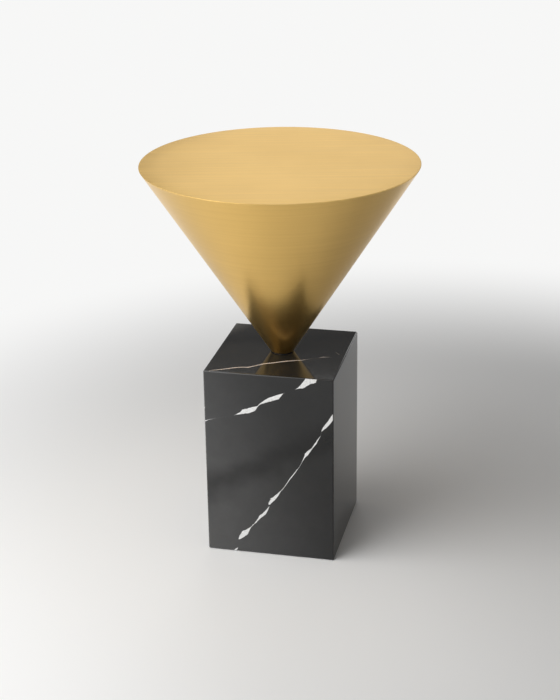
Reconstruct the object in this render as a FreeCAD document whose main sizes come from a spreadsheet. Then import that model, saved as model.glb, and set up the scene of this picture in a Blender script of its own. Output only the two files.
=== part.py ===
import FreeCAD, Part
import os
import Sketcher

# Wine table: a brushed brass cone stands on its cut-off point, on a square plinth clad in black marble.
# Millimetres, +Z up. The origin is on the floor, on the upright axis that cone and plinth share.

sizes = {
    # Whole table
    "table_height": 550,  # floor to the top face
    "top_diameter": 380,  # at the rim, where top face and cone would meet in a sharp edge
    "neck_diameter": 32,  # where the cone is cut off
    "plinth_height": 277,  # floor to the marble top face
    "plinth_side": 182,
    # Cone
    "top_plate_thickness": 2,
    "rim_bevel": 0.5,  # legs of the fine bevel round the top
    "shell_wall": 1.5,
    "backing_thickness": 12,
    "backing_margin": 1,  # from the edge of the backing board to the shell, level
    "nose_height": 18,
    "weld_gap": 0.1,  # between nose plug and shell
    # Clamping set
    "stud_diameter": 12,
    "stud_tail": 5,  # stud beyond the nut, and beyond the nose plug
    "thread_gap": 0.05,
    "bore_clearance": 1,  # round the stud in stone, boards and plate
    "gasket_thickness": 1,
    "gasket_inset": 1,  # gasket edge behind the edge of the neck
    "clamp_plate_clearance": 2.7,  # between the plate's sides and the inner sides of the posts
    "clamp_plate_thickness": 6,
    "clamp_plate_corner": 5,
    "washer_diameter": 24,
    "washer_thickness": 2.5,
    "washer_clearance": 0.5,
    "nut_flats": 18,
    "nut_height": 10.8,
    # Marble cladding
    "slab_thickness": 18,
    "arris": 1.6,  # leg of the small bevel along each polished edge
    "bottom_arris": 0.5,
    # Carcass
    "glue_gap": 0.3,  # between the slabs and the wood behind them
    "top_board_thickness": 18,
    "base_board_thickness": 15,
    "post_side": 40,
    "screw_diameter": 4,
    "screw_head_diameter": 8,
    "screw_length": 40,
    "screw_tip": 2,
    "screw_gap": 0.2,  # round the shank and under the head
    "screw_inset": 32,  # from the carcass side to the screw's axis
    "pilot_runout": 4,
    "foot_side": 24,
    "foot_thickness": 1,
    "foot_inset": 3,  # from the carcass side to the edge of the foot
}

doc = FreeCAD.newDocument("wine_table")
sheet = doc.addObject("Spreadsheet::Sheet", "Sizes")
for row, (alias, value) in enumerate(sizes.items(), start=1):
    sheet.set(f"A{row}", alias)
    sheet.set(f"B{row}", str(value))
    sheet.setAlias(f"B{row}", alias)
doc.recompute()

# Levels and widths that several pieces share, as formulas on the sheet
stone_bottom = "Sizes.foot_thickness"
carcass_floor = "(Sizes.foot_thickness + Sizes.base_board_thickness)"
carcass_roof = "(Sizes.plinth_height - Sizes.slab_thickness - Sizes.top_board_thickness)"
neck_level = "(Sizes.plinth_height + Sizes.gasket_thickness)"
nose_top = f"({neck_level} + Sizes.nose_height)"
rim_level = "(Sizes.table_height - Sizes.top_plate_thickness)"
stone_half = "(Sizes.plinth_side / 2)"
carcass_half = "(Sizes.plinth_side / 2 - Sizes.slab_thickness - Sizes.glue_gap)"
screw_place = f"({carcass_half} - Sizes.screw_inset)"
foot_place = f"({carcass_half} - Sizes.foot_inset - Sizes.foot_side / 2)"
bore_radius = "(Sizes.stud_diameter / 2 + Sizes.bore_clearance)"
thread_radius = "(Sizes.stud_diameter / 2 + Sizes.thread_gap)"
washer_bore = "(Sizes.stud_diameter / 2 + Sizes.washer_clearance)"

# The clamping set, stacked downwards from the underside of the top board
plate_half = f"({carcass_half} - Sizes.post_side - Sizes.clamp_plate_clearance)"
plate_bottom = f"({carcass_roof} - Sizes.clamp_plate_thickness)"
washer_bottom = f"({plate_bottom} - Sizes.washer_thickness)"
nut_bottom = f"({washer_bottom} - Sizes.nut_height)"

# The cone's side: radius gained per height, and the level width of its sloping wall
cone_slope = f"((Sizes.top_diameter - Sizes.neck_diameter) / 2 / (Sizes.table_height - {neck_level}))"
wall_width = f"(Sizes.shell_wall * sqrt(1 + {cone_slope} ^ 2))"

countersink_angle = 90
full_turn = 360
quarter_turns = (0, 90, 180, 270)
side_names = ("front", "right", "back", "left")
corner_names = ("front_left", "front_right", "back_right", "back_left")


def cone_radius(level):
    return f"(Sizes.neck_diameter / 2 + {cone_slope} * ({level} - {neck_level}))"


def shell_inner_radius(level):
    return f"({cone_radius(level)} - {wall_width})"


def minus(formula):
    return f"-({formula})"


def is_upright(edge):
    return edge.BoundBox.DiagonalLength - edge.BoundBox.ZLength < Part.Precision.confusion()


def new_body(label, turn=0):
    body = doc.addObject("PartDesign::Body", label)
    body.Label = label
    body.Placement = FreeCAD.Placement(FreeCAD.Vector(), FreeCAD.Rotation(FreeCAD.Vector(0, 0, 1), turn))
    return body


def origin_feature(body, role):
    return next(feature for feature in body.Origin.OriginFeatures if feature.Role == role)


# A sketch on one of the body's own planes, moved within and off that plane by formulas
def new_sketch(body, name, plane, shift=("0", "0", "0")):
    sketch = body.newObject("Sketcher::SketchObject", name)
    sketch.AttachmentSupport = [(origin_feature(body, plane), "")]
    sketch.MapMode = "FlatFace"
    for axis, formula in zip("xyz", shift):
        sketch.setExpression(f"AttachmentOffset.Base.{axis}", formula)
    return sketch


# A closed outline of straight edges, each corner held by two formulas
def draw_outline(sketch, corners):
    first = sketch.GeometryCount
    points = [FreeCAD.Vector(sheet.evalExpression(x), sheet.evalExpression(y), 0) for x, y in corners]
    for start, end in zip(points, points[1:] + points[:1]):
        sketch.addGeometry(Part.LineSegment(start, end), False)
    for index, (corner, point) in enumerate(zip(corners, points)):
        edge = first + index
        following = first + (index + 1) % len(corners)
        sketch.addConstraint(Sketcher.Constraint("Coincident", edge, 2, following, 1))
        for kind, formula, place in zip(("DistanceX", "DistanceY"), corner, (point.x, point.y)):
            number = sketch.addConstraint(Sketcher.Constraint(kind, -1, 1, edge, 1, place))
            sketch.setExpression(f"Constraints[{number}]", formula)


def draw_square(sketch, half):
    left = minus(half)
    draw_outline(sketch, [(left, left), (half, left), (half, half), (left, half)])


def draw_circle(sketch, radius):
    circle = Part.Circle(FreeCAD.Vector(), FreeCAD.Vector(0, 0, 1), sheet.evalExpression(radius))
    index = sketch.addGeometry(circle, False)
    sketch.addConstraint(Sketcher.Constraint("Coincident", index, 3, -1, 1))
    number = sketch.addConstraint(Sketcher.Constraint("Radius", index, circle.Radius))
    sketch.setExpression(f"Constraints[{number}]", radius)


def pad(body, sketch, length):
    feature = body.newObject("PartDesign::Pad", f"{sketch.Name}_pad")
    feature.Profile = sketch
    feature.setExpression("Length", length)
    doc.recompute()
    return feature


# A cut upwards from the sketch, to a depth or right through
def cut_up(body, sketch, depth=None):
    feature = body.newObject("PartDesign::Pocket", f"{sketch.Name}_cut")
    feature.Profile = sketch
    feature.Reversed = True
    if depth:
        feature.setExpression("Length", depth)
    else:
        feature.Type = "ThroughAll"
    doc.recompute()


def cut_stud_bore(body):
    bore = new_sketch(body, "stud_bore", "XY_Plane")
    draw_circle(bore, bore_radius)
    cut_up(body, bore)


def cut_both_ways(body, sketch):
    feature = body.newObject("PartDesign::Pocket", f"{sketch.Name}_cut")
    feature.Profile = sketch
    feature.Type = "ThroughAll"
    feature.Midplane = True
    doc.recompute()


def turn_about_z(body, sketch):
    feature = body.newObject("PartDesign::Revolution", f"{sketch.Name}_turned")
    feature.Profile = sketch
    feature.ReferenceAxis = (sketch, ["V_Axis"])
    feature.Angle = full_turn
    doc.recompute()
    return feature


def copy_to_corners(body, feature):
    pattern = body.newObject("PartDesign::PolarPattern", f"{body.Name}_corners")
    pattern.Originals = [feature]
    pattern.Axis = (origin_feature(body, "Z_Axis"), [""])
    pattern.Angle = full_turn
    pattern.Occurrences = len(quarter_turns)
    body.Tip = pattern
    doc.recompute()


# A Fillet or a Chamfer along those edges of a feature that a test picks out
def dress_edges(body, base, kind, size_name, size, wanted):
    edges = [f"Edge{number}" for number, edge in enumerate(base.Shape.Edges, start=1) if wanted(edge)]
    dressing = body.newObject(f"PartDesign::{kind}", f"{base.Name}_{kind}")
    dressing.Base = (base, edges)
    dressing.setExpression(size_name, size)
    doc.recompute()


def make_top_plate():
    body = new_body("top_plate")
    profile = new_sketch(body, "plate_profile", "XZ_Plane")
    rim = cone_radius("Sizes.table_height")
    draw_outline(profile, [
        ("0", rim_level),
        (cone_radius(rim_level), rim_level),
        (rim, "Sizes.table_height"),
        ("0", "Sizes.table_height"),
    ])
    disc = turn_about_z(body, profile)
    mid_height = disc.Shape.BoundBox.Center.z
    dress_edges(body, disc, "Chamfer", "Size", "Sizes.rim_bevel",
                lambda edge: edge.BoundBox.ZMin > mid_height)


def make_cone_shell():
    body = new_body("cone_shell")
    profile = new_sketch(body, "shell_profile", "XZ_Plane")
    draw_outline(profile, [
        (shell_inner_radius(neck_level), neck_level),
        (cone_radius(neck_level), neck_level),
        (cone_radius(rim_level), rim_level),
        (shell_inner_radius(rim_level), rim_level),
    ])
    turn_about_z(body, profile)


def make_top_backing_board():
    body = new_body("top_backing_board")
    profile = new_sketch(body, "backing_profile", "XZ_Plane")
    bottom = f"({rim_level} - Sizes.backing_thickness)"
    draw_outline(profile, [
        ("0", bottom),
        (f"{shell_inner_radius(bottom)} - Sizes.backing_margin", bottom),
        (f"{shell_inner_radius(rim_level)} - Sizes.backing_margin", rim_level),
        ("0", rim_level),
    ])
    turn_about_z(body, profile)


# The plug fills the tip of the cone and is tapped right through
def make_nose_plug():
    body = new_body("nose_plug")
    profile = new_sketch(body, "nose_profile", "XZ_Plane")
    draw_outline(profile, [
        (thread_radius, neck_level),
        (f"{shell_inner_radius(neck_level)} - Sizes.weld_gap", neck_level),
        (f"{shell_inner_radius(nose_top)} - Sizes.weld_gap", nose_top),
        (thread_radius, nose_top),
    ])
    turn_about_z(body, profile)


def make_clamp_stud():
    body = new_body("clamp_stud")
    outline = new_sketch(body, "stud_outline", "XY_Plane", ("0", "0", f"{nut_bottom} - Sizes.stud_tail"))
    draw_circle(outline, "Sizes.stud_diameter / 2")
    pad(body, outline, f"{nose_top} - {nut_bottom} + 2 * Sizes.stud_tail")


def make_ring(label, bottom, thickness, outer_radius, inner_radius):
    body = new_body(label)
    outline = new_sketch(body, f"{label}_outline", "XY_Plane", ("0", "0", bottom))
    draw_circle(outline, outer_radius)
    draw_circle(outline, inner_radius)
    pad(body, outline, thickness)


def make_clamp_plate():
    body = new_body("clamp_plate")
    outline = new_sketch(body, "plate_outline", "XY_Plane", ("0", "0", plate_bottom))
    draw_square(outline, plate_half)
    plate = pad(body, outline, "Sizes.clamp_plate_thickness")
    dress_edges(body, plate, "Fillet", "Radius", "Sizes.clamp_plate_corner", is_upright)
    cut_stud_bore(body)


def make_clamp_nut():
    body = new_body("clamp_nut")
    outline = new_sketch(body, "nut_outline", "XY_Plane", ("0", "0", nut_bottom))
    corner = "(Sizes.nut_flats / sqrt(3))"
    side = "(Sizes.nut_flats / 2)"
    draw_outline(outline, [
        (corner, "0"),
        (f"{corner} / 2", side),
        (minus(f"{corner} / 2"), side),
        (minus(corner), "0"),
        (minus(f"{corner} / 2"), minus(side)),
        (f"{corner} / 2", minus(side)),
    ])
    draw_circle(outline, thread_radius)
    pad(body, outline, "Sizes.nut_height")


# The top slab: all four sides are cut back to the mitre below and to half of the arris above
def make_marble_top():
    body = new_body("marble_top")
    underside = "(Sizes.plinth_height - Sizes.slab_thickness)"
    widest = f"({stone_half} - Sizes.arris / 2)"
    blank = new_sketch(body, "slab_blank", "XY_Plane", ("0", "0", underside))
    draw_square(blank, widest)
    pad(body, blank, "Sizes.slab_thickness")
    half_section = [
        (f"{stone_half} - Sizes.slab_thickness", underside),
        (widest, "Sizes.plinth_height - Sizes.arris / 2"),
        (f"{stone_half} - Sizes.arris", "Sizes.plinth_height"),
        (stone_half, "Sizes.plinth_height"),
        (stone_half, underside),
    ]
    for plane in ("XZ_Plane", "YZ_Plane"):
        edges = new_sketch(body, f"slab_edges_{plane}", plane)
        draw_outline(edges, half_section)
        draw_outline(edges, [(minus(across), level) for across, level in half_section])
        cut_both_ways(body, edges)
    cut_stud_bore(body)


# A side slab, drawn as the front one: mitred to its neighbours and to the top, with half of each arris
def make_marble_side(label, turn):
    body = new_body(label, turn)
    plan = new_sketch(body, "slab_plan", "XY_Plane", ("0", minus(stone_half), stone_bottom))
    face_end = f"({stone_half} - Sizes.arris)"
    arris_end = f"({stone_half} - Sizes.arris / 2)"
    inner_end = f"({stone_half} - Sizes.slab_thickness)"
    draw_outline(plan, [
        (minus(face_end), "0"),
        (face_end, "0"),
        (arris_end, "Sizes.arris / 2"),
        (inner_end, "Sizes.slab_thickness"),
        (minus(inner_end), "Sizes.slab_thickness"),
        (minus(arris_end), "Sizes.arris / 2"),
    ])
    pad(body, plan, f"Sizes.plinth_height - {stone_bottom}")
    edges = new_sketch(body, "slab_edges", "YZ_Plane", (minus(stone_half), "0", "0"))
    draw_outline(edges, [
        ("0", "Sizes.plinth_height - Sizes.arris"),
        ("Sizes.arris / 2", "Sizes.plinth_height - Sizes.arris / 2"),
        ("Sizes.slab_thickness", "Sizes.plinth_height - Sizes.slab_thickness"),
        ("Sizes.slab_thickness", "Sizes.plinth_height"),
        ("0", "Sizes.plinth_height"),
    ])
    draw_outline(edges, [
        ("0", stone_bottom),
        ("Sizes.bottom_arris", stone_bottom),
        ("0", f"{stone_bottom} + Sizes.bottom_arris"),
    ])
    cut_both_ways(body, edges)


def make_top_board():
    body = new_body("top_board")
    outline = new_sketch(body, "board_outline", "XY_Plane", ("0", "0", carcass_roof))
    draw_square(outline, carcass_half)
    pad(body, outline, "Sizes.top_board_thickness")
    cut_stud_bore(body)


# A post, drawn in the front left corner, with the pilot hole for its screw
def make_corner_post(label, turn):
    body = new_body(label, turn)
    middle = f"(Sizes.post_side / 2 - {carcass_half})"
    outline = new_sketch(body, "post_outline", "XY_Plane", (middle, middle, carcass_floor))
    draw_square(outline, "Sizes.post_side / 2")
    pad(body, outline, f"{carcass_roof} - {carcass_floor}")
    pilot = new_sketch(body, "pilot", "XY_Plane", (minus(screw_place), minus(screw_place), carcass_floor))
    draw_circle(pilot, "Sizes.screw_diameter / 2 + Sizes.screw_gap")
    cut_up(body, pilot, "Sizes.screw_length - Sizes.base_board_thickness + Sizes.pilot_runout")


def make_base_board():
    body = new_body("base_board")
    outline = new_sketch(body, "board_outline", "XY_Plane", ("0", "0", stone_bottom))
    draw_square(outline, carcass_half)
    pad(body, outline, "Sizes.base_board_thickness")
    at_screw = (minus(screw_place), minus(screw_place), stone_bottom)
    screw_centre = new_sketch(body, "screw_centre", "XY_Plane", at_screw)
    draw_circle(screw_centre, "Sizes.screw_diameter / 2 + Sizes.screw_gap")
    doc.recompute()
    hole = body.newObject("PartDesign::Hole", "screw_hole")
    hole.Profile = screw_centre
    hole.Reversed = True
    hole.DepthType = "ThroughAll"
    hole.HoleCutType = "Countersink"
    hole.HoleCutCountersinkAngle = countersink_angle
    hole.setExpression("Diameter", "Sizes.screw_diameter + 2 * Sizes.screw_gap")
    hole.setExpression("HoleCutDiameter", "Sizes.screw_head_diameter + 2 * Sizes.screw_gap")
    doc.recompute()
    copy_to_corners(body, hole)


# Four countersunk screws, drawn once and set in each corner
def make_base_screws():
    body = new_body("base_screws")
    body.AllowCompound = True
    profile = new_sketch(body, "screw_profile", "XZ_Plane", (minus(screw_place), "0", screw_place))
    head = "(Sizes.screw_head_diameter / 2)"
    shank = "(Sizes.screw_diameter / 2)"
    draw_outline(profile, [
        ("0", stone_bottom),
        (head, stone_bottom),
        (shank, f"{stone_bottom} + {head} - {shank}"),
        (shank, f"{stone_bottom} + Sizes.screw_length - Sizes.screw_tip"),
        ("0", f"{stone_bottom} + Sizes.screw_length"),
    ])
    copy_to_corners(body, turn_about_z(body, profile))


def make_foot(label, turn):
    body = new_body(label, turn)
    outline = new_sketch(body, "foot_outline", "XY_Plane", (minus(foot_place), minus(foot_place), "0"))
    draw_square(outline, "Sizes.foot_side / 2")
    pad(body, outline, "Sizes.foot_thickness")


make_top_plate()
make_cone_shell()
make_top_backing_board()
make_nose_plug()
make_clamp_stud()
make_ring("neck_gasket", "Sizes.plinth_height", "Sizes.gasket_thickness",
          "Sizes.neck_diameter / 2 - Sizes.gasket_inset", bore_radius)
make_clamp_plate()
make_ring("plain_washer", washer_bottom, "Sizes.washer_thickness", "Sizes.washer_diameter / 2", washer_bore)
make_clamp_nut()
make_marble_top()
make_top_board()
make_base_board()
make_base_screws()
for side_name, turn in zip(side_names, quarter_turns):
    make_marble_side(f"marble_{side_name}", turn)
for corner_name, turn in zip(corner_names, quarter_turns):
    make_corner_post(f"corner_post_{corner_name}", turn)
    make_foot(f"foot_{corner_name}", turn)
doc.recompute()

pieces = [item for item in doc.Objects if item.TypeId == "PartDesign::Body"]
faults = [item.Name for item in doc.Objects if {"Invalid", "Error"} & set(item.State)]
faults += [piece.Label for piece in pieces if piece.Shape.isNull() or not piece.Shape.isValid()]
if faults:
    raise RuntimeError("these objects failed: " + ", ".join(faults))

os.makedirs("parts", exist_ok=True)
for piece in pieces:
    piece.Shape.exportStep(f"parts/{piece.Label}.step")
    print(f"{piece.Label}: {len(piece.Shape.Solids)} solid(s), {piece.Shape.Volume:.0f} mm3")
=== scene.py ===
import math

import bmesh
import bpy
from mathutils import Matrix, Vector, noise


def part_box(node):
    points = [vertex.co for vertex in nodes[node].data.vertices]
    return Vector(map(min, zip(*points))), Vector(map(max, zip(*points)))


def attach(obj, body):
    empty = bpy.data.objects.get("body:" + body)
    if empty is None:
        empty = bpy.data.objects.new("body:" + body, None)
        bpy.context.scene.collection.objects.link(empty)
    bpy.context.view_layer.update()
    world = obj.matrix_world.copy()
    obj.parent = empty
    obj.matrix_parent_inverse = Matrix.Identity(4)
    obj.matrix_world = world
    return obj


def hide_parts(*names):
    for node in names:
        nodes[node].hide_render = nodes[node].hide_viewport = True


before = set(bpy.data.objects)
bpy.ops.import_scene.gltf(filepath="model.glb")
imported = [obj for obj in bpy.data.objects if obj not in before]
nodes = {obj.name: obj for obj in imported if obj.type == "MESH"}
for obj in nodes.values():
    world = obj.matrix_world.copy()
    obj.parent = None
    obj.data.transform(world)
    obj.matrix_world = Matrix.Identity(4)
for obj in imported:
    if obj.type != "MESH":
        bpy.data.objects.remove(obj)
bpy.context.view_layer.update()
mm = 0.001
print("frame loaded:", len(nodes), "nodes")


# meshes

def newPiece(name, mesh, material, slotName, *standsFor):
    piece = bpy.data.objects.new(name, mesh)
    bpy.context.scene.collection.objects.link(piece)
    mesh.materials.append(material)
    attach(piece, "root")
    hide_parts(*standsFor)
    return piece


def meshFromBmesh(name, bm, sharpAngle):
    bmesh.ops.recalc_face_normals(bm, faces=bm.faces)
    mesh = bpy.data.meshes.new(name)
    bm.to_mesh(mesh)
    bm.free()
    mesh.polygons.foreach_set("use_smooth", [True] * len(mesh.polygons))
    mesh.set_sharp_from_angle(angle=math.radians(sharpAngle))
    return mesh


def keepFlatsFlat(piece):
    weighted = piece.modifiers.new("flatFaces", "WEIGHTED_NORMAL")
    weighted.keep_sharp = True


# turns a closed outline of (radius, height) about the upright axis; a radius of 0 is a point on the axis,
# and one that changes on the way round is a function of the angle
def latheMesh(name, outline, segments, sharpAngle=30):
    bm = bmesh.new()
    rings = []
    for radius, height in outline:
        if radius == 0:
            rings.append([bm.verts.new((0, 0, height))])
            continue
        ring = []
        for i in range(segments):
            angle = 2 * math.pi * i / segments
            reach = radius(angle) if callable(radius) else radius
            ring.append(bm.verts.new((reach * math.cos(angle), reach * math.sin(angle), height)))
        rings.append(ring)
    for lower, upper in zip(rings, rings[1:] + rings[:1]):
        if len(lower) == 1 and len(upper) == 1:
            continue
        for i in range(segments):
            j = (i + 1) % segments
            below = [lower[i % len(lower)], lower[j % len(lower)]]
            above = [upper[j % len(upper)], upper[i % len(upper)]]
            bm.faces.new(list(dict.fromkeys(below + above)))   # a triangle where a ring is one point
    return meshFromBmesh(name, bm, sharpAngle)


def repeatAt(mesh, places, sharpAngle):
    bm = bmesh.new()
    for place in places:
        before = len(bm.verts)
        bm.from_mesh(mesh)
        bm.verts.ensure_lookup_table()
        bmesh.ops.translate(bm, verts=bm.verts[before:], vec=place)
    name = mesh.name
    bpy.data.meshes.remove(mesh)
    return meshFromBmesh(name, bm, sharpAngle)


# points of a round corner between two straight runs of an outline
def roundCorner(before, corner, after, reach, steps):
    before, corner, after = Vector(before), Vector(corner), Vector(after)
    start = corner + (before - corner).normalized() * reach
    end = corner + (after - corner).normalized() * reach
    points = []
    for i in range(steps + 1):
        t = i / steps
        points.append(tuple(start * (1 - t) ** 2 + corner * 2 * t * (1 - t) + end * t ** 2))
    return points


# shader nodes

wideSpan = (0.3, 0.7)      # most of a cloud's values
midSpan = (0.35, 0.65)
tightSpan = (0.38, 0.62)
socketNames = {
    "colour": "Base Color",
    "roughness": "Roughness",
    "normal": "Normal",
    "metallic": "Metallic",
    "specular": "Specular IOR Level",
    "anisotropy": "Anisotropic",
    "grainTurn": "Anisotropic Rotation",
    "tangent": "Tangent",
    "sheen": "Sheen Weight",
    "sheenRoughness": "Sheen Roughness",
}


def connect(tree, socket, value):
    if isinstance(value, bpy.types.NodeSocket):
        tree.links.new(value, socket)
    else:
        socket.default_value = value


def put(tree, kind, inputs=None, **settings):
    node = tree.nodes.new("ShaderNode" + kind)
    for name, value in settings.items():
        setattr(node, name, value)
    for socket, value in (inputs or {}).items():
        connect(tree, node.inputs[socket], value)
    return node


def feed(tree, shader, **sockets):
    for key, value in sockets.items():
        connect(tree, shader.inputs[socketNames[key]], value)


def calc(tree, operation, a, b=0.0, c=0.0, clamp=False):
    return put(tree, "Math", {0: a, 1: b, 2: c}, operation=operation, use_clamp=clamp).outputs[0]


def remap(tree, value, fromMin, fromMax, toMin, toMax, kind="LINEAR"):
    limits = {"Value": value, "From Min": fromMin, "From Max": fromMax, "To Min": toMin, "To Max": toMax}
    return put(tree, "MapRange", limits, interpolation_type=kind).outputs[0]


# turns 0 to 1 into so much on either side of 0
def eitherSide(tree, value, reach):
    return calc(tree, "MULTIPLY_ADD", value, 2 * reach, -reach)


def blendValue(tree, factor, a, b):
    return put(tree, "Mix", {0: factor, 2: a, 3: b}).outputs[0]


def blendColour(tree, factor, a, b):
    return put(tree, "Mix", {0: factor, 6: a, 7: b}, data_type="RGBA").outputs[2]


# a line of straight runs through points from 0 to 1
def curveOf(tree, value, points):
    node = put(tree, "FloatCurve", {"Value": value})
    node.mapping.extend = "HORIZONTAL"
    line = node.mapping.curves[0]
    line.points[0].location = points[0]
    line.points[1].location = points[-1]
    for place in points[1:-1]:
        line.points.new(*place)
    for point in line.points:
        point.handle_type = "VECTOR"
    node.mapping.update()
    return node.outputs[0]


def cloud(tree, coords, scale, detail=3.0, roughness=0.5):
    inputs = {"Vector": coords, "Scale": scale, "Detail": detail, "Roughness": roughness}
    return put(tree, "TexNoise", inputs).outputs[0]


def stretched(tree, coords, scale, turn=(0, 0, 0)):
    turning = {"Vector": coords, "Rotation": turn}
    turned = put(tree, "VectorRotate", turning, rotation_type="EULER_XYZ").outputs[0]
    return put(tree, "Mapping", {"Vector": turned, "Scale": scale}).outputs[0]


def bumpOf(tree, height, strength, distance):
    return put(tree, "Bump", {"Height": height, "Strength": strength, "Distance": distance}).outputs[0]


# 1 where the camera looks at a surface itself, or sees it in metal, polished stone or glass
def seenItself(tree):
    ray = put(tree, "LightPath").outputs
    seen = calc(tree, "ADD", ray["Is Camera Ray"], ray["Is Glossy Ray"])
    return calc(tree, "ADD", seen, ray["Is Transmission Ray"], clamp=True)


def newMaterial(name):
    material = bpy.data.materials.new(name)
    material.use_nodes = True
    tree = material.node_tree
    shader = tree.nodes["Principled BSDF"]
    coords = put(tree, "TexCoord").outputs["Object"]
    return material, tree, shader, coords


# brushed brass

brass = {
    "scratchHeight": 0.01 * mm,
    "scratchStrength": 0.012,
    "patinaScale": 9,
    "patinaShare": 0.3,
    "strokeShare": 0.75,   # the rest is the finest grain
}
roundBrushing = {
    "light": (0.82, 0.545, 0.178, 1),
    "dark": (0.77, 0.502, 0.16, 1),
    "grainScale": (14, 14, 3200),
    "strokeScale": (4, 4, 460),
    "strokeTurn": 0,
    "grainAxis": "Z",
    "grainTurn": 0.25,
    "roughness": (0.28, 0.31),
    "anisotropy": 0.1,
}
straightBrushing = {
    "light": (0.825, 0.562, 0.198, 1),
    "dark": (0.73, 0.485, 0.163, 1),
    "grainScale": (14, 3200, 3200),
    "strokeScale": (3, 180, 180),
    "strokeTurn": -13,
    "grainAxis": "X",
    "grainTurn": 0.0,
    "roughness": (0.38, 0.44),
    "anisotropy": 0.65,
}


def brassMaterial(name, finish):
    material, tree, shader, coords = newMaterial(name)
    turn = (0, 0, math.radians(finish["strokeTurn"]))
    grainLines = stretched(tree, coords, finish["grainScale"], turn)
    strokeLines = stretched(tree, coords, finish["strokeScale"], turn)
    fine = cloud(tree, grainLines, 1.0, detail=6, roughness=0.7)
    strokes = cloud(tree, strokeLines, 1.0, detail=4, roughness=0.6)
    patina = cloud(tree, coords, brass["patinaScale"])
    brushed = blendValue(tree, brass["strokeShare"], fine, strokes)
    tone = remap(tree, blendValue(tree, brass["patinaShare"], brushed, patina), *tightSpan, 0, 1)
    tangent = put(tree, "Tangent", direction_type="RADIAL", axis=finish["grainAxis"]).outputs[0]
    feed(tree, shader,
         colour=blendColour(tree, tone, finish["dark"], finish["light"]),
         roughness=remap(tree, brushed, *midSpan, *finish["roughness"]),
         metallic=1.0,
         anisotropy=finish["anisotropy"],
         grainTurn=finish["grainTurn"],
         tangent=tangent,
         normal=bumpOf(tree, fine, brass["scratchStrength"], brass["scratchHeight"]))
    return material


cone = {
    "segments": 288,
    "wall": 1.5 * mm,
    "neckRadius": 16 * mm,
    "topRadius": 190 * mm,
    "lip": 0.4 * mm,             # eased edge round the neck
    "rimReach": 1 * mm,          # eased edge round the top
    "easeSteps": 4,
    "rows": (0.15, 0.4, 0.7),    # rows of points, as shares of the cone's height
    "rings": (0.3, 0.6, 0.85),   # rings of points, as shares of the top's radius
}
topLow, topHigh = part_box("top_plate")
shellLow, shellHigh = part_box("cone_shell")
slope = (cone["topRadius"] - cone["neckRadius"]) / (topHigh.z - shellLow.z)


def coneRadius(height):
    return cone["neckRadius"] + (height - shellLow.z) * slope


def makeCone():
    roundBrass = brassMaterial("brushedBrassRound", roundBrushing)
    inset = cone["wall"] * math.sqrt(1 + slope ** 2)
    low, high = shellLow.z, shellHigh.z
    innerLow = (cone["neckRadius"] - inset, low)
    neck = (cone["neckRadius"], low)
    outerHigh = (coneRadius(high), high)
    rows = [low + (high - low) * share for share in cone["rows"]]
    outline = [innerLow]
    outline += roundCorner(innerLow, neck, outerHigh, cone["lip"], cone["easeSteps"])
    outline += [(coneRadius(z), z) for z in rows]
    outline += [outerHigh, (coneRadius(high) - inset, high)]
    outline += [(coneRadius(z) - inset, z) for z in reversed(rows)]
    mesh = latheMesh("brassCone", outline, cone["segments"])
    newPiece("brassCone", mesh, roundBrass, "brushed_brass", "cone_shell")


def makeTop():
    straightBrass = brassMaterial("brushedBrassStraight", straightBrushing)
    under, over = topLow.z, topHigh.z
    rim = (coneRadius(over), over)
    foot = (coneRadius(under), under)
    rings = [rim[0] * share for share in cone["rings"]]
    outline = [(0, over)] + [(radius, over) for radius in rings]
    outline += roundCorner((0, over), rim, foot, cone["rimReach"], cone["easeSteps"])
    outline += [foot] + [(radius, under) for radius in reversed(rings)] + [(0, under)]
    mesh = latheMesh("brassTop", outline, cone["segments"])
    newPiece("brassTop", mesh, straightBrass, "brushed_brass", "top_plate")


makeCone()
makeTop()
print("brass cone and top made")


# black marble, five mitred slabs

marble = {
    "stone": (0.021, 0.021, 0.021, 1),
    "deep": (0.002, 0.002, 0.002, 1),    # the darker band across a slab; on the front slab painted shade
    "paleCloudAndPaintedReflection": (0.095, 0.095, 0.095, 1),   # the paler clouds; on the front slab a painted reflection
    "shadeDepth": 0.5,
    "mottleDepth": 0.1,
    "vein": (0.86, 0.86, 0.85, 1),
    "greyVein": (0.62, 0.62, 0.61, 1),
    "roseVein": (0.76, 0.67, 0.62, 1),
    "dullRose": (0.54, 0.47, 0.43, 1),
    "veinToneSpan": (0.3, 0.5),
    "specular": 0.35,
    "roughness": (0.05, 0.08),
    "slab": 18 * mm,
    "arris": 1.6 * mm,
    "arrisSteps": 1,
    "bottomArris": 0.5 * mm,
    "bottomSteps": 2,
    "sharpAngle": 40,
    "studBore": 7 * mm,
    "boreSegments": 48,
    "tolerance": 0.001 * mm,
    "raggedness": 0.13,
    "wander": 0.5,         # mm that a vein strays from its line
    "bandDrift": 30,       # mm that the dark band strays
    "edgeSoftness": 0.22,  # mm over which a vein fades into the stone
}
marbleScales = {
    "wander": 0.16,
    "chips": 0.32,
    "band": 0.012,
    "mottle": 0.05,
    "veinTone": 0.45,
    "gloss": 0.2,
}

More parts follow.
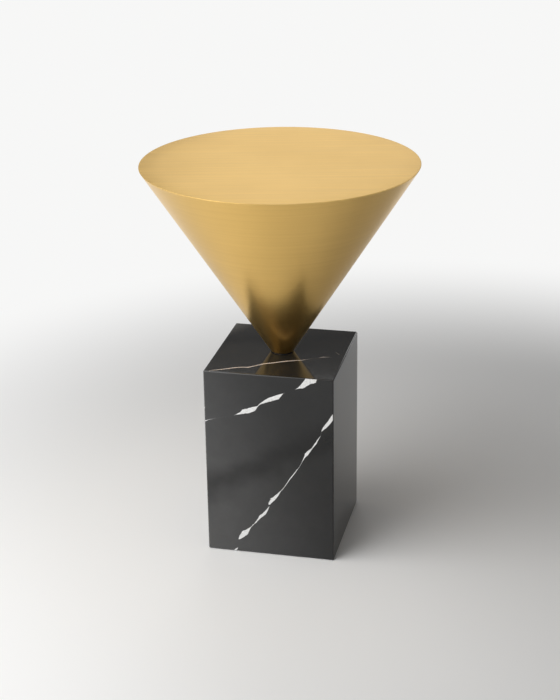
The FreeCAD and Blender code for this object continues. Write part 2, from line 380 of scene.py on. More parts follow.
# a vein is a line of (across, up, half width) on its slab, in mm
frontVeins = [
    [(-95, 198, 0.6), (-91, 200.5, 0.9), (-86, 203, 0.3), (-76, 206, 0.08), (-50, 212.5, 0.0),
     (-46, 214.5, 0.3), (-40, 217, 1.5), (-35, 220, 3.2), (-29, 221.5, 3.6), (-20, 225.5, 3.2),
     (-18, 227, 2.0), (-14.5, 230, 0.5), (-12, 233, 0.6), (-5, 237.5, 2.0), (2.5, 241.5, 2.9),
     (14, 246, 3.2), (18, 249.5, 1.6), (21, 252, 0.2), (25, 253.5, 0.0), (37, 259, 0.0),
     (40, 260.5, 0.4), (43, 262, 0.9), (48, 265, 3.4), (51.5, 268.5, 4.0), (55, 273, 5.4),
     (64, 277, 5.8), (70, 281, 6.0)],
    [(97, 234, 2.6), (90.5, 223.5, 2.6), (85.5, 215, 2.5), (79.5, 207, 2.1), (75.5, 202, 1.0),
     (74, 199, 0.1), (73.5, 194, 0.1), (70, 188, 0.6), (66, 180.5, 1.2), (61, 173, 0.6),
     (58, 169.5, 1.5), (53, 163, 2.3), (50.5, 158.5, 1.0), (47.5, 152.5, 0.35), (43.5, 143.5, 0.2),
     (39, 137, 0.5), (33, 128, 0.7), (28.5, 121.5, 0.65), (21.5, 109.5, 0.4), (16, 102.5, 0.45),
     (10.5, 95, 1.8), (5.5, 89, 2.6), (2.5, 86, 2.4), (-1, 80.5, 1.5), (-1.5, 79, 0.0),
     (-0.5, 77, 0.1), (-4.5, 70, 1.4), (-8.5, 64, 2.2), (-14, 59, 2.0), (-18, 53.5, 1.0),
     (-21.5, 48.5, 0.9), (-23, 46.5, 0.2), (-25, 45, 0.7), (-28, 41, 0.4), (-32.5, 35.5, 2.1),
     (-37, 30.5, 4.4), (-41, 26, 3.3), (-45.5, 20.5, 1.5), (-46.5, 19, 0.0), (-47.5, 7, 0.0),
     (-48, 5.5, 0.2), (-50.5, 2.5, 1.5), (-54, 0.5, 0.5), (-56, -2, 0.2)],
    [(8, 92.5, 0.3), (3.5, 90, 0.9), (-0.5, 88.3, 0.1)],
]
topVeins = [
    [(-84, -91, 0.2), (-79, -88, 0.5), (-66, -82, 1.0), (-50, -73, 1.2), (-41, -69.5, 0.9),
     (-32.5, -68.5, 1.3), (-23.5, -60.5, 0.9), (-14.5, -52.5, 1.3), (-2.5, -46.5, 1.3),
     (8.5, -40, 1.5), (22, -34, 1.2), (34, -30, 0.9), (41, -25.5, 0.35), (48, -21, 0.12),
     (55, -17, 0.15), (61, -13.5, 0.8), (67, -12.5, 0.4), (74, -10, 0.0)],
    [(70.5, 13, 0.1), (79, 3, 0.25), (88, -7.5, 0.1)],
]


# slabs that are turned from view in the photo
backVeins = [
    [(-97, 69, 1.8), (-88, 76, 2.6), (-79, 82, 2.1), (-74, 85, 0.6), (-70, 88, 0.0), (-60, 94, 0.0),
     (-55, 98, 0.5), (-44, 104, 1.4), (-36, 110, 3.0), (-27, 114, 3.4), (-20, 119, 1.2),
     (-14, 123, 0.3), (0, 131, 0.15), (12, 139, 0.4), (20, 146, 1.7), (31, 152, 2.8),
     (38, 158, 1.0), (43, 161, 0.2), (52, 166, 0.0), (60, 172, 0.3), (66, 176, 1.2), (76, 183, 3.4),
     (84, 190, 2.4), (90, 193, 1.6), (97, 199, 1.2)],
    [(22, 284, 2.6), (30, 276, 3.4), (37, 270, 1.8), (42, 266, 0.3), (50, 261, 0.1), (57, 257, 0.8),
     (66, 252, 2.2), (73, 246, 0.9), (80, 242, 0.0), (88, 236, 0.4), (94, 232, 1.1),
     (99, 229, 1.0)],
]
leftVeins = [
    [(-97, 169, 2.2), (-91, 160, 3.0), (-84, 152, 1.5), (-80, 147, 0.2), (-74, 140, 0.1),
     (-69, 133, 0.9), (-61, 124, 2.6), (-56, 116, 1.6), (-51, 110, 0.3), (-44, 101, 0.2),
     (-37, 93, 0.8), (-29, 84, 1.9), (-24, 76, 3.2), (-17, 69, 2.1), (-12, 62, 0.4), (-8, 57, 0.0),
     (0, 46, 0.0), (5, 40, 0.4), (12, 31, 1.2), (19, 22, 2.9), (26, 14, 1.8), (31, 8, 0.5),
     (37, 1, 0.9), (41, -4, 0.9)],
    [(22, 284, 1.9), (29, 276, 3.0), (37, 269, 2.2), (43, 262, 0.6), (49, 257, 0.1), (57, 249, 0.2),
     (64, 243, 1.3), (71, 236, 2.6), (78, 231, 1.1), (84, 225, 0.2), (92, 219, 0.8),
     (99, 213, 1.0)],
]

# shade is the dark band, as two points on its line and its reach to either side;
# paleCloudAndPaintedReflection is where the paler tone begins and where it has gone.
# On the front slab both are painted: the paler lower left fading to the right is painted reflection of a
# floor lit more on the left, and the dark band is painted shade; on the other slabs they are clouds in the
# stone.
slabs = {
    "front": {"across": ("X", 1), "up": "Z", "veins": frontVeins, "seed": 0.0,
              "shade": ((-79, 102), (86, 195), 34), "paleCloudAndPaintedReflection": ((-110, -20), (110, 60))},
    "right": {"across": ("Y", 1), "up": "Z", "veins": [], "seed": 31.0,
              "shade": ((-60, 150), (70, 210), 30), "paleCloudAndPaintedReflection": ((90, 0), (60, 50))},
    "back": {"across": ("X", -1), "up": "Z", "veins": backVeins, "seed": 57.0,
             "shade": ((-80, 190), (70, 90), 36), "paleCloudAndPaintedReflection": ((80, 270), (30, 180))},
    "left": {"across": ("Y", -1), "up": "Z", "veins": leftVeins, "seed": 83.0,
             "shade": ((-70, 60), (80, 150), 30), "paleCloudAndPaintedReflection": ((-80, 10), (0, 70))},
    "top": {"across": ("X", 1), "up": "Y", "veins": topVeins, "seed": 111.0,
            "shade": ((-80, 30), (80, 70), 26), "paleCloudAndPaintedReflection": ((-90, 90), (-60, 70)),
            "tones": ("dullRose", "roseVein")},
}
outwardOf = {
    "front": Vector((0, -1, 0)),
    "right": Vector((1, 0, 0)),
    "back": Vector((0, 1, 0)),
    "left": Vector((-1, 0, 0)),
    "top": Vector((0, 0, 1)),
}


# how far along a line a place lies, from 0 to 1, how far to its side in mm, and how long the line is
def lineField(tree, across, up, start, end):
    length = math.hypot(end[0] - start[0], end[1] - start[1])
    dx, dy = (end[0] - start[0]) / length, (end[1] - start[1]) / length
    fromStart = calc(tree, "SUBTRACT", across, start[0])
    aboveStart = calc(tree, "SUBTRACT", up, start[1])
    climb = calc(tree, "MULTIPLY", aboveStart, dy / length)
    along = calc(tree, "MULTIPLY_ADD", fromStart, dx / length, climb)
    drop = calc(tree, "MULTIPLY", fromStart, -dy)
    aside = calc(tree, "MULTIPLY_ADD", aboveStart, dx, drop)
    return along, aside, length


def veinMask(tree, across, up, points, ragged):
    start, end = points[0][:2], points[-1][:2]
    along, aside, length = lineField(tree, across, up, start, end)
    dx, dy = (end[0] - start[0]) / length, (end[1] - start[1]) / length
    rows = []
    for x, y, halfWidth in points:
        t = ((x - start[0]) * dx + (y - start[1]) * dy) / length
        rows.append((t, (y - start[1]) * dx - (x - start[0]) * dy, halfWidth))
    rows[0] = (*rows[0][:2], 0.0)
    rows[-1] = (*rows[-1][:2], 0.0)
    sway = max(abs(row[1]) for row in rows) + 1.0   # 1 mm to spare, so that the curve stays within 0 and 1
    widest = max(row[2] for row in rows)
    middle = curveOf(tree, along, [(t, 0.5 + off / (2 * sway)) for t, off, _ in rows])
    middle = remap(tree, middle, 0, 1, -sway, sway)
    halfWidth = calc(tree, "MULTIPLY", curveOf(tree, along, [(t, w / widest) for t, _, w in rows]), widest)
    halfWidth = calc(tree, "MULTIPLY", halfWidth, ragged)
    gap = calc(tree, "ABSOLUTE", calc(tree, "SUBTRACT", aside, middle))
    return remap(tree, calc(tree, "SUBTRACT", halfWidth, gap), 0, marble["edgeSoftness"], 0, 1)


def stoneColour(tree, slab, grain, across, up):
    # the dark band, on the front slab painted shade
    start, end, reach = slab["shade"]
    _, aside, _ = lineField(tree, across, up, start, end)
    drift = eitherSide(tree, cloud(tree, grain, marbleScales["band"]), marble["bandDrift"])
    fromBand = calc(tree, "ABSOLUTE", calc(tree, "ADD", aside, drift))
    shade = remap(tree, fromBand, 0, reach, 1, 0, "SMOOTHSTEP")
    mottle = cloud(tree, grain, marbleScales["mottle"], detail=5, roughness=0.6)
    mottle = remap(tree, mottle, *midSpan, 0, marble["mottleDepth"])
    depth = calc(tree, "MULTIPLY_ADD", shade, marble["shadeDepth"], mottle, clamp=True)
    # the paler fade, on the front slab a painted reflection of a floor lit more on the left
    start, end = slab["paleCloudAndPaintedReflection"]
    along, _, _ = lineField(tree, across, up, start, end)
    paleCloudAndPaintedReflection = remap(tree, along, 0, 1, 1, 0, "SMOOTHSTEP")
    stone = blendColour(tree, paleCloudAndPaintedReflection, marble["stone"], marble["paleCloudAndPaintedReflection"])
    return blendColour(tree, depth, stone, marble["deep"])


def marbleMaterial(side):
    slab = slabs[side]
    material, tree, shader, coords = newMaterial("blackMarble" + side.capitalize())
    onSlab = put(tree, "VectorMath", {0: coords, "Scale": 1 / mm}, operation="SCALE").outputs[0]
    grain = put(tree, "VectorMath", {0: onSlab, 1: (slab["seed"],) * 3}, operation="ADD").outputs[0]
    axes = put(tree, "SeparateXYZ", {0: onSlab}).outputs
    axis, direction = slab["across"]
    across = calc(tree, "MULTIPLY", axes[axis], direction)
    up = axes[slab["up"]]

    wander = cloud(tree, grain, marbleScales["wander"], detail=4, roughness=0.6)
    acrossWandered = calc(tree, "ADD", across, eitherSide(tree, wander, marble["wander"]))
    chips = cloud(tree, grain, marbleScales["chips"], detail=5, roughness=0.65)
    ragged = remap(tree, chips, *wideSpan, 1 - marble["raggedness"], 1 + marble["raggedness"])
    mask = 0.0
    for points in slab["veins"]:
        mask = calc(tree, "MAXIMUM", veinMask(tree, acrossWandered, up, points, ragged), mask)

    veinTone = cloud(tree, grain, marbleScales["veinTone"], detail=4)
    veinTone = remap(tree, veinTone, *marble["veinToneSpan"], 0, 1)
    dull, clear = slab.get("tones", ("greyVein", "vein"))
    vein = blendColour(tree, veinTone, marble[dull], marble[clear])
    stone = stoneColour(tree, slab, grain, across, up)
    gloss = cloud(tree, grain, marbleScales["gloss"])
    feed(tree, shader,
         colour=blendColour(tree, mask, stone, vein),
         roughness=remap(tree, gloss, *wideSpan, *marble["roughness"]),
         specular=marble["specular"])
    return material


def easeEdges(bm, edges, reach, steps):
    bmesh.ops.bevel(bm, geom=edges, offset=reach, segments=steps, profile=0.5, affect="EDGES")


# the whole plinth with eased edges, from which each slab is cut
def plinthBlock():
    low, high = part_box("marble_front")[0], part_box("marble_top")[1]
    half = -low.y
    bm = bmesh.new()
    bmesh.ops.create_cube(bm, size=1)
    for vert in bm.verts:
        vert.co = (vert.co.x * 2 * half, vert.co.y * 2 * half, high.z if vert.co.z > 0 else low.z)
    upper = [edge for edge in bm.edges if max(v.co.z for v in edge.verts) > low.z]
    easeEdges(bm, upper, marble["arris"], marble["arrisSteps"])
    footLevel = low.z + marble["tolerance"]
    lower = [edge for edge in bm.edges if max(v.co.z for v in edge.verts) < footLevel]
    easeEdges(bm, lower, marble["bottomArris"], marble["bottomSteps"])
    return bm, half, high.z


def cutAway(bm, place, normal):
    parts = list(bm.verts) + list(bm.edges) + list(bm.faces)
    bmesh.ops.bisect_plane(bm, geom=parts, plane_co=place, plane_no=normal, clear_outer=True,
                           dist=0.1 * marble["tolerance"])
    rim = [edge for edge in bm.edges if edge.is_boundary]
    if rim:
        bmesh.ops.edgeloop_fill(bm, edges=rim)


def boreThrough(bm, radius, segments):
    lying = [face for face in bm.faces if abs(face.normal.z) > 0.99]   # level faces
    flats = sorted(lying, key=lambda face: -face.calc_area())[:2]
    turns = [2 * math.pi * i / segments for i in range(segments)]
    rims = []
    for face in flats:
        level = face.verts[0].co.z
        outer = list(face.edges)
        ring = [bm.verts.new((radius * math.cos(a), radius * math.sin(a), level)) for a in turns]
        inner = [bm.edges.new((ring[i - 1], ring[i])) for i in range(segments)]
        bm.faces.remove(face)
        bmesh.ops.triangle_fill(bm, use_beauty=True, use_dissolve=False, edges=outer + inner)
        rims.append(ring)
    for i in range(segments):
        bm.faces.new((rims[0][i - 1], rims[0][i], rims[1][i], rims[1][i - 1]))


def makeSlabs():
    for side, ahead in outwardOf.items():
        bm, half, roof = plinthBlock()
        faceOf = {name: out * (roof if name == "top" else half) for name, out in outwardOf.items()}
        cutAway(bm, faceOf[side] - ahead * marble["slab"], -ahead)
        for name, out in outwardOf.items():
            if abs(ahead.dot(out)) < 0.5:   # a neighbour, met in a mitre
                cutAway(bm, faceOf[side] + faceOf[name], out - ahead)
        if side == "top":
            boreThrough(bm, marble["studBore"], marble["boreSegments"])
        pieceName = "marble" + side.capitalize()
        mesh = meshFromBmesh(pieceName, bm, marble["sharpAngle"])
        piece = newPiece(pieceName, mesh, marbleMaterial(side), "black_marble", "marble_" + side)
        keepFlatsFlat(piece)


makeSlabs()
print("marble slabs made")


# rubber washer in the neck

gasket = {
    "segments": 96,
    "bore": 7 * mm,
    "bulge": 0.3 * mm,
    "bulgeSteps": 4,
    "rubber": (0.022, 0.022, 0.023, 1),
    "bloom": (0.045, 0.045, 0.046, 1),
    "bloomSpan": (0.4, 0.7),
    "roughness": (0.55, 0.75),
    "dustScale": 420,
    "dustStrength": 0.2,
    "dustHeight": 0.2 * mm,
}


def rubberMaterial():
    material, tree, shader, coords = newMaterial("blackRubber")
    dust = cloud(tree, coords, gasket["dustScale"], detail=5, roughness=0.65)
    bloom = remap(tree, dust, *gasket["bloomSpan"], 0, 1)
    feed(tree, shader,
         colour=blendColour(tree, bloom, gasket["rubber"], gasket["bloom"]),
         roughness=remap(tree, dust, *wideSpan, *gasket["roughness"]),
         normal=bumpOf(tree, dust, gasket["dustStrength"], gasket["dustHeight"]))
    return material


def makeGasket():
    low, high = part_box("neck_gasket")
    radius = high.x
    inside = radius - gasket["bulge"]
    lower, upper = (radius, low.z), (radius, high.z)
    outline = [(gasket["bore"], low.z)]
    outline += roundCorner((inside, low.z), lower, upper, gasket["bulge"], gasket["bulgeSteps"])
    outline += roundCorner(lower, upper, (inside, high.z), gasket["bulge"], gasket["bulgeSteps"])
    outline += [(gasket["bore"], high.z)]
    mesh = latheMesh("neckGasket", outline, gasket["segments"])
    newPiece("neckGasket", mesh, rubberMaterial(), "black_rubber", "neck_gasket")


# felt pads under the base

felt = {
    "cornerRadius": 3 * mm,
    "cornerSteps": 8,
    "sideSteps": 10,
    "rows": ((0.5 * mm, 0.0), (0.15 * mm, 0.3), (0.0, 0.6), (0.1 * mm, 1.0)),   # (inset, share of height)
    "sharpAngle": 60,
    "fuzz": 0.15 * mm,
    "fuzzScale": 900,
    "wool": (0.055, 0.055, 0.06, 1),
    "fibre": (0.13, 0.13, 0.135, 1),
    "toneSpan": (0.15, 0.4),
    "hairScale": (900, 2600, 900),
    "hairTurn": (0.4, 0.2, 0.7),
    "hairStrength": 0.6,
    "hairHeight": 0.3 * mm,
    "clumpScale": 260,
    "roughness": 0.95,
    "sheen": 0.4,
    "sheenRoughness": 0.5,
}


def feltMaterial():
    material, tree, shader, coords = newMaterial("darkFelt")
    hairLines = stretched(tree, coords, felt["hairScale"], felt["hairTurn"])
    hairs = cloud(tree, hairLines, 1.0, detail=6, roughness=0.7)
    clumps = cloud(tree, coords, felt["clumpScale"])
    tone = calc(tree, "MULTIPLY", hairs, clumps)
    feed(tree, shader,
         colour=blendColour(tree, remap(tree, tone, *felt["toneSpan"], 0, 1), felt["wool"], felt["fibre"]),
         roughness=felt["roughness"],
         sheen=felt["sheen"],
         sheenRoughness=felt["sheenRoughness"],
         normal=bumpOf(tree, tone, felt["hairStrength"], felt["hairHeight"]))
    return material


def padOutline(half, inset):
    radius = felt["cornerRadius"]
    reach = half - radius
    quarterTurn = math.pi / 2
    points = []
    for quarter in range(4):
        start, end = quarter * quarterTurn, (quarter + 1) * quarterTurn
        centre = Matrix.Rotation(start, 2) @ Vector((reach, reach))
        for i in range(felt["cornerSteps"] + 1):
            angle = start + i / felt["cornerSteps"] * quarterTurn
            points.append(centre + Vector((math.cos(angle), math.sin(angle))) * (radius - inset))
        onward = Matrix.Rotation(end, 2) @ Vector((reach, reach))
        outward = Vector((math.cos(end), math.sin(end)))
        for i in range(1, felt["sideSteps"]):
            points.append(centre.lerp(onward, i / felt["sideSteps"]) + outward * (radius - inset))
    return points


def makePads():
    material = feltMaterial()
    for corner in ("front_left", "front_right", "back_right", "back_left"):
        low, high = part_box("foot_" + corner)
        middle = (low + high) / 2
        bm = bmesh.new()
        rings = []
        for inset, share in felt["rows"]:
            level = low.z + (high.z - low.z) * share
            ring = []
            for point in padOutline((high.x - low.x) / 2, inset):
                place = Vector((middle.x + point.x, middle.y + point.y, level))
                ragged = felt["fuzz"] * (0.5 + 0.5 * noise.noise(place * felt["fuzzScale"]))
                place -= (place - middle).normalized() * ragged
                place.z = level
                ring.append(bm.verts.new(place))
            rings.append(ring)
        for lower, upper in zip(rings, rings[1:]):
            for i in range(len(lower)):
                bm.faces.new((lower[i - 1], lower[i], upper[i], upper[i - 1]))
        bm.faces.new(rings[0])
        bm.faces.new(rings[-1])
        pieceName = "feltPad" + "".join(word.capitalize() for word in corner.split("_"))
        mesh = meshFromBmesh(pieceName, bm, felt["sharpAngle"])
        newPiece(pieceName, mesh, material, "dark_felt", "foot_" + corner)


# steels

zincSteel = {
    "light": (0.60, 0.61, 0.62, 1),
    "dark": (0.44, 0.46, 0.49, 1),
    "stretch": (1, 1, 1),
    "scale": 320,
    "roughness": (0.28, 0.46),
    "fleckStrength": 0.15,
    "fleckHeight": 0.05 * mm,
}
turnedSteel = {
    "light": (0.62, 0.61, 0.60, 1),
    "dark": (0.50, 0.49, 0.48, 1),
    "stretch": (0.05, 0.05, 14),
    "scale": 300,
    "roughness": (0.2, 0.34),
    "fleckStrength": 0.25,
    "fleckHeight": 0.05 * mm,
}


def steelMaterial(name, finish):
    material, tree, shader, coords = newMaterial(name)
    lines = stretched(tree, coords, finish["stretch"])
    flecks = cloud(tree, lines, finish["scale"], detail=5, roughness=0.6)
    feed(tree, shader,
         colour=blendColour(tree, remap(tree, flecks, *midSpan, 0, 1), finish["dark"], finish["light"]),
         roughness=remap(tree, flecks, *wideSpan, *finish["roughness"]),
         metallic=1.0,
         normal=bumpOf(tree, flecks, finish["fleckStrength"], finish["fleckHeight"]))
    return material


# countersunk screws of the base, with a cross recess and a wood thread

screw = {
    "segments": 48,
    "sharpAngle": 35,
    "headRadius": 4 * mm,
    "headDepth": 2 * mm,
    "headEase": 0.2 * mm,
    "easeSteps": 3,
    "shank": 1.6 * mm,
    "core": 1.45 * mm,
    "thread": 1.95 * mm,
    "pitch": 1.8 * mm,
    "stepsPerTurn": 6,
    "plainLength": 9 * mm,    # head and smooth shank
    "tip": 2.5 * mm,
    "crossReach": 2.3 * mm,
    "crossHalf": 0.5 * mm,
    "crossDepth": 1.5 * mm,
    "crossWall": 0.9,         # share of the depth at which the recess turns to its point
    "crossTaper": 0.6,        # and its share of the width there
}


def crossRadius(shrink):
    reach, half = screw["crossReach"] * shrink, screw["crossHalf"] * shrink

    def atAngle(angle):
        part = angle % (math.pi / 2)
        part = min(part, math.pi / 2 - part)
        return reach / math.cos(part) if math.tan(part) <= half / reach else half / math.sin(part)
    return atAngle


def threadRadius(height, fade):
    def atAngle(angle):
        phase = (height / screw["pitch"] - angle / (2 * math.pi)) % 1
        ridge = max(0.0, 1 - abs(phase - 0.5) * 4)   # half a pitch wide at its foot
        return (screw["core"] + (screw["thread"] - screw["core"]) * ridge) * fade
    return atAngle


def makeScrews():
    low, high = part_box("base_screws")
    length = high.z - low.z
    head, shank, headDepth = screw["headRadius"], screw["shank"], screw["headDepth"]
    depth = screw["crossDepth"]
    outline = [(0, depth)]
    outline += [(crossRadius(screw["crossTaper"]), screw["crossWall"] * depth), (crossRadius(1), 0)]
    outline += roundCorner((0, 0), (head, 0), (shank, headDepth), screw["headEase"], screw["easeSteps"])
    outline += [(shank, headDepth), (shank, screw["plainLength"])]
    step = screw["pitch"] / screw["stepsPerTurn"]
    rows = int((length - screw["plainLength"]) / step)
    for row in range(1, rows):
        height = screw["plainLength"] + row * step
        fade = min(1.0, (length - height) / screw["tip"])
        outline.append((threadRadius(height, fade), height))
    outline.append((0, length))
    mesh = latheMesh("baseScrews", outline, screw["segments"], screw["sharpAngle"])
    place = high.x - head
    corners = [(x * place, y * place, low.z) for x in (-1, 1) for y in (-1, 1)]
    mesh = repeatAt(mesh, corners, screw["sharpAngle"])
    newPiece("baseScrews", mesh, steelMaterial("zincScrews", zincSteel), "zinc_steel", "base_screws")


# boards and posts inside

boards = {
    "plyPale": (0.66, 0.50, 0.32, 1),
    "plyDark": (0.46, 0.31, 0.18, 1),
    "plyThickness": 1.5 * mm,
    "softEdge": (0.4, 0.6),   # where a layer, or the grain of a face, gives way to the next
    "plyRoughness": (0.6, 0.85),
    "grain": (9, 160, 160),
    "grainSpan": (0.35, 0.7),
    "grainStrength": 0.3,
    "grainHeight": 0.2 * mm,
    "fibreboard": (0.50, 0.38, 0.25, 1),
    "fibreDark": (0.36, 0.26, 0.165, 1),
    "fibreRoughness": (0.75, 0.95),
    "flakeScale": 900,
    "flakeStrength": 0.3,
    "flakeHeight": 0.1 * mm,
    "blotchScale": 22,
    "blotchShare": 0.35,
}
posts = {
    "pale": (0.74, 0.58, 0.38, 1),
    "late": (0.52, 0.34, 0.18, 1),
    "lateSpan": (0.55, 0.95),
    "ringWidth": 2.6 * mm,
    "ringDrift": 3,          # a ring strays up to so many ring widths
    "heart": (0.19, 0.13),   # where the tree's heart was, outside the post
    "driftScale": (40, 40, 3),
    "poreScale": (1600, 1600, 60),
    "poreSpan": (0.3, 0.6),
    "poreLeast": 0.6,
    "poreStrength": 0.2,
    "poreHeight": 0.2 * mm,
    "roughness": (0.5, 0.7),
}


# flat faces show the grain, and edges the layers
def plywoodMaterial():
    material, tree, shader, coords = newMaterial("plywood")
    up = put(tree, "SeparateXYZ", {0: put(tree, "NewGeometry").outputs["Normal"]}).outputs["Z"]
    edge = remap(tree, calc(tree, "ABSOLUTE", up), *boards["softEdge"], 1, 0)
    height = put(tree, "SeparateXYZ", {0: coords}).outputs["Z"]
    ply = calc(tree, "PINGPONG", height, boards["plyThickness"])
    layer = calc(tree, "DIVIDE", ply, boards["plyThickness"])
    layer = remap(tree, layer, *boards["softEdge"], 0, 1)
    grain = cloud(tree, stretched(tree, coords, boards["grain"]), 1.0, detail=6, roughness=0.65)
    tone = blendValue(tree, edge, remap(tree, grain, *boards["grainSpan"], 0, 1), layer)
    feed(tree, shader,
         colour=blendColour(tree, tone, boards["plyPale"], boards["plyDark"]),
         roughness=remap(tree, grain, *wideSpan, *boards["plyRoughness"]),
         normal=bumpOf(tree, grain, boards["grainStrength"], boards["grainHeight"]))
    return material


def fibreboardMaterial():
    material, tree, shader, coords = newMaterial("fibreboard")
    flakes = cloud(tree, coords, boards["flakeScale"], detail=6, roughness=0.7)
    blotch = cloud(tree, coords, boards["blotchScale"])
    tone = remap(tree, blendValue(tree, boards["blotchShare"], flakes, blotch), *tightSpan, 0, 1)
    feed(tree, shader,
         colour=blendColour(tree, tone, boards["fibreDark"], boards["fibreboard"]),
         roughness=remap(tree, flakes, *wideSpan, *boards["fibreRoughness"]),
         normal=bumpOf(tree, flakes, boards["flakeStrength"], boards["flakeHeight"]))
    return material


def softwoodMaterial():
    material, tree, shader, coords = newMaterial("softwood")
    axes = put(tree, "SeparateXYZ", {0: coords}).outputs
    drift = cloud(tree, stretched(tree, coords, posts["driftScale"]), 1.0)
    fromHeart = [calc(tree, "SUBTRACT", axes[axis], posts["heart"][i]) for i, axis in enumerate("XY")]
    reach = calc(tree, "SQRT", calc(tree, "ADD", *[calc(tree, "MULTIPLY", d, d) for d in fromHeart]))
    reach = calc(tree, "MULTIPLY_ADD", drift, posts["ringDrift"] * posts["ringWidth"], reach)
    ring = calc(tree, "FRACT", calc(tree, "DIVIDE", reach, posts["ringWidth"]))
    pores = cloud(tree, stretched(tree, coords, posts["poreScale"]), 1.0, detail=4)
    openPores = remap(tree, pores, *posts["poreSpan"], posts["poreLeast"], 1)
    late = calc(tree, "MULTIPLY", remap(tree, ring, *posts["lateSpan"], 0, 1), openPores)
    feed(tree, shader,
         colour=blendColour(tree, late, posts["pale"], posts["late"]),
         roughness=remap(tree, pores, *wideSpan, *posts["roughness"]),
         normal=bumpOf(tree, pores, posts["poreStrength"], posts["poreHeight"]))
    return material


def finishInside():
    zinc = steelMaterial("zincSteel", zincSteel)
    plywood = plywoodMaterial()
    softwood = softwoodMaterial()
    finishes = {
        "nose_plug": steelMaterial("turnedSteel", turnedSteel),
        "top_backing_board": fibreboardMaterial(),
        "top_board": plywood,
        "base_board": plywood,
    }
    finishes.update({name: zinc for name in ("clamp_stud", "clamp_plate", "plain_washer", "clamp_nut")})
    finishes.update({name: softwood for name in nodes if name.startswith("corner_post")})
    for name, material in finishes.items():
        for slot in nodes[name].material_slots:
            slot.material = material


makeGasket()
makePads()
makeScrews()
finishInside()
print("gasket, felt pads, screws and inner finishes made")


# floor, light and camera

floor = {
    "size": 60,
    "paper": (0.92, 0.92, 0.915, 1),
    "worn": (0.89, 0.89, 0.885, 1),
    "wornScale": 1.5,
    "white": (0.93, 0.93, 0.925, 1),
    "whiteFrom": (0.52, 1.15),   # metres over which the lit floor runs out into the white
    "litMiddle": (0.2, 0.1, 0),
}


def floorMaterial():
    material, tree, shader, coords = newMaterial("paleFloor")
    wear = cloud(tree, coords, floor["wornScale"], detail=2)
    feed(tree, shader,
         colour=blendColour(tree, wear, floor["worn"], floor["paper"]),
         roughness=1.0,
         specular=0.0)
    fromMiddle = {0: coords, 1: floor["litMiddle"]}
    away = put(tree, "VectorMath", fromMiddle, operation="DISTANCE").outputs["Value"]
    far = remap(tree, away, *floor["whiteFrom"], 0, 1, "SMOOTHSTEP")
    white = put(tree, "Emission", {"Color": floor["white"], "Strength": 1.0}).outputs[0]
    share = calc(tree, "MULTIPLY", far, seenItself(tree))
    surface = put(tree, "MixShader", {0: share, 1: shader.outputs[0], 2: white})
    tree.links.new(surface.outputs[0], tree.nodes["Material Output"].inputs["Surface"])
    material.cycles.emission_sampling = "NONE"
    return material


def makeFloor():
    half = floor["size"] / 2
    corners = [(-half, -half, 0), (half, -half, 0), (half, half, 0), (-half, half, 0)]
    mesh = bpy.data.meshes.new("floor")
    mesh.from_pydata(corners, [], [(0, 1, 2, 3)])
    mesh.materials.append(floorMaterial())
    plane = bpy.data.objects.new("floor", mesh)
    bpy.context.scene.collection.objects.link(plane)


# metres and watts
lamps = {
    "key": {"place": (-0.8, -0.7, 0.96), "aim": (0, 0, 0.1), "size": (1.4, 1.9), "power": 22},
    "back": {"place": (-0.4, 2.3, 2.0), "aim": (0, 0, 0.5), "size": (1.15, 1.2), "power": 6.2},
}
# pairs are parts of a direction: up for rise, whiteUpTo and cardFrom,
# to the right for sides and cardRight, and to the back for depth and cardBack
world = {
    "horizon": 0.2,              # grey behind the table
    "overhead": 0.16,
    "rise": (0.45, 1.0),
    "right": 0.75,               # share of that to the right
    "sides": (-0.1, 0.45),
    "front": 1.5,                # and in front
    "depth": (-0.6, 0.2),
    "white": 0.93,               # backdrop that the floor runs out into
    "whiteUpTo": (0.10, 0.30),
    "card": 0.62,                # pale card that stands higher, in front and to the right
    "cardFrom": (0.26, 0.38),
    "cardBack": (0.2, 0.6),
    "cardRight": (0.15, 0.5),
}


def makeLamps():
    for name, lamp in lamps.items():
        data = bpy.data.lights.new(name, "AREA")
        data.shape = "RECTANGLE"
        data.size, data.size_y = lamp["size"]
        data.energy = lamp["power"]
        light = bpy.data.objects.new(name, data)
        light.location = lamp["place"]
        light.visible_camera = False
        light.rotation_euler = (Vector(lamp["aim"]) - light.location).to_track_quat("-Z", "Y").to_euler()
        bpy.context.scene.collection.objects.link(light)


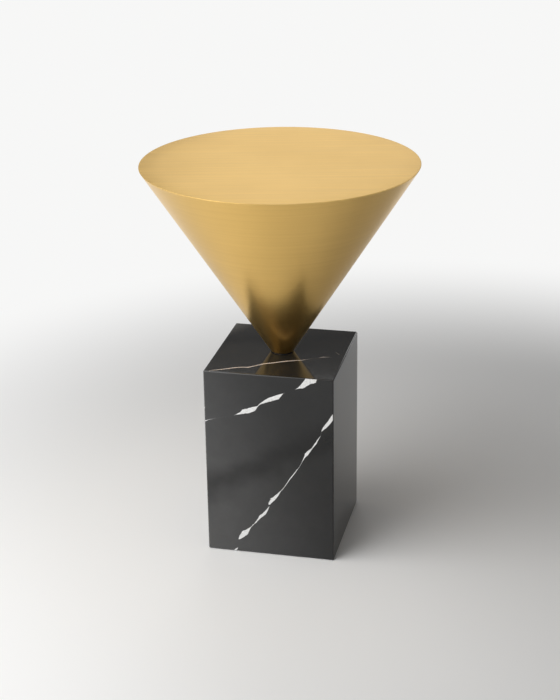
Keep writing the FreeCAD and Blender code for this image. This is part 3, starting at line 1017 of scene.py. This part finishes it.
def makeWorld():
    sky = bpy.context.scene.world or bpy.data.worlds.new("studio")
    bpy.context.scene.world = sky
    sky.use_nodes = True
    sky.cycles.sampling_method = "NONE"
    tree = sky.node_tree
    towards = put(tree, "SeparateXYZ", {0: put(tree, "TexCoord").outputs["Generated"]}).outputs
    level = remap(tree, towards["Z"], *world["rise"], world["horizon"], world["overhead"])
    level = calc(tree, "MULTIPLY", level, remap(tree, towards["X"], *world["sides"], 1, world["right"]))
    level = calc(tree, "MULTIPLY", level, remap(tree, towards["Y"], *world["depth"], world["front"], 1))
    seen = seenItself(tree)
    atBack = remap(tree, towards["Y"], *world["cardBack"], 0, 1)
    notRight = remap(tree, towards["X"], *world["cardRight"], 1, 0)
    noCard = calc(tree, "MULTIPLY", atBack, notRight)
    card = remap(tree, towards["Z"], *world["cardFrom"], 0, 1, "SMOOTHSTEP")
    card = calc(tree, "MULTIPLY", card, calc(tree, "SUBTRACT", 1, noCard))
    level = blendValue(tree, calc(tree, "MULTIPLY", card, seen), level, world["card"])
    low = remap(tree, towards["Z"], *world["whiteUpTo"], 1, 0, "SMOOTHSTEP")
    level = blendValue(tree, calc(tree, "MULTIPLY", low, seen), level, world["white"])
    backdrop = tree.nodes["Background"]
    backdrop.inputs["Color"].default_value = (1, 1, 1, 1)
    tree.links.new(level, backdrop.inputs["Strength"])


viewpoint = {
    "turn": 13.06,
    "rise": 22.67,
    "distance": 2.2635,
    "aimHeight": 0.266,
    "yaw": 0.085,
    "pitch": 0.271,
    "roll": 0.798,
    "lens": 55.02,
    "sensorHeight": 24,
}


def makeCamera():
    turn, rise = math.radians(viewpoint["turn"]), math.radians(viewpoint["rise"])
    aim = Vector((0, 0, viewpoint["aimHeight"]))
    outward = Vector((math.sin(turn) * math.cos(rise), -math.cos(turn) * math.cos(rise), math.sin(rise)))
    forward = -outward
    right = forward.cross(Vector((0, 0, 1))).normalized()
    up = right.cross(forward)
    yaw = Matrix.Rotation(math.radians(viewpoint["yaw"]), 3, up)
    forward, right = yaw @ forward, yaw @ right
    pitch = Matrix.Rotation(math.radians(viewpoint["pitch"]), 3, right)
    forward, up = pitch @ forward, pitch @ up
    roll = Matrix.Rotation(math.radians(viewpoint["roll"]), 3, forward)
    right, up = roll @ right, roll @ up
    data = bpy.data.cameras.new("camera")
    data.sensor_fit = "VERTICAL"
    data.sensor_height = viewpoint["sensorHeight"]
    data.lens = viewpoint["lens"]
    camera = bpy.data.objects.new("camera", data)
    facing = Matrix((right, up, -forward)).transposed().to_4x4()
    camera.matrix_world = Matrix.Translation(aim + outward * viewpoint["distance"]) @ facing
    bpy.context.scene.collection.objects.link(camera)
    bpy.context.scene.camera = camera


makeFloor()
makeLamps()
makeWorld()
makeCamera()
bpy.context.scene.view_settings.view_transform = "Standard"
print("floor, lights and camera set")
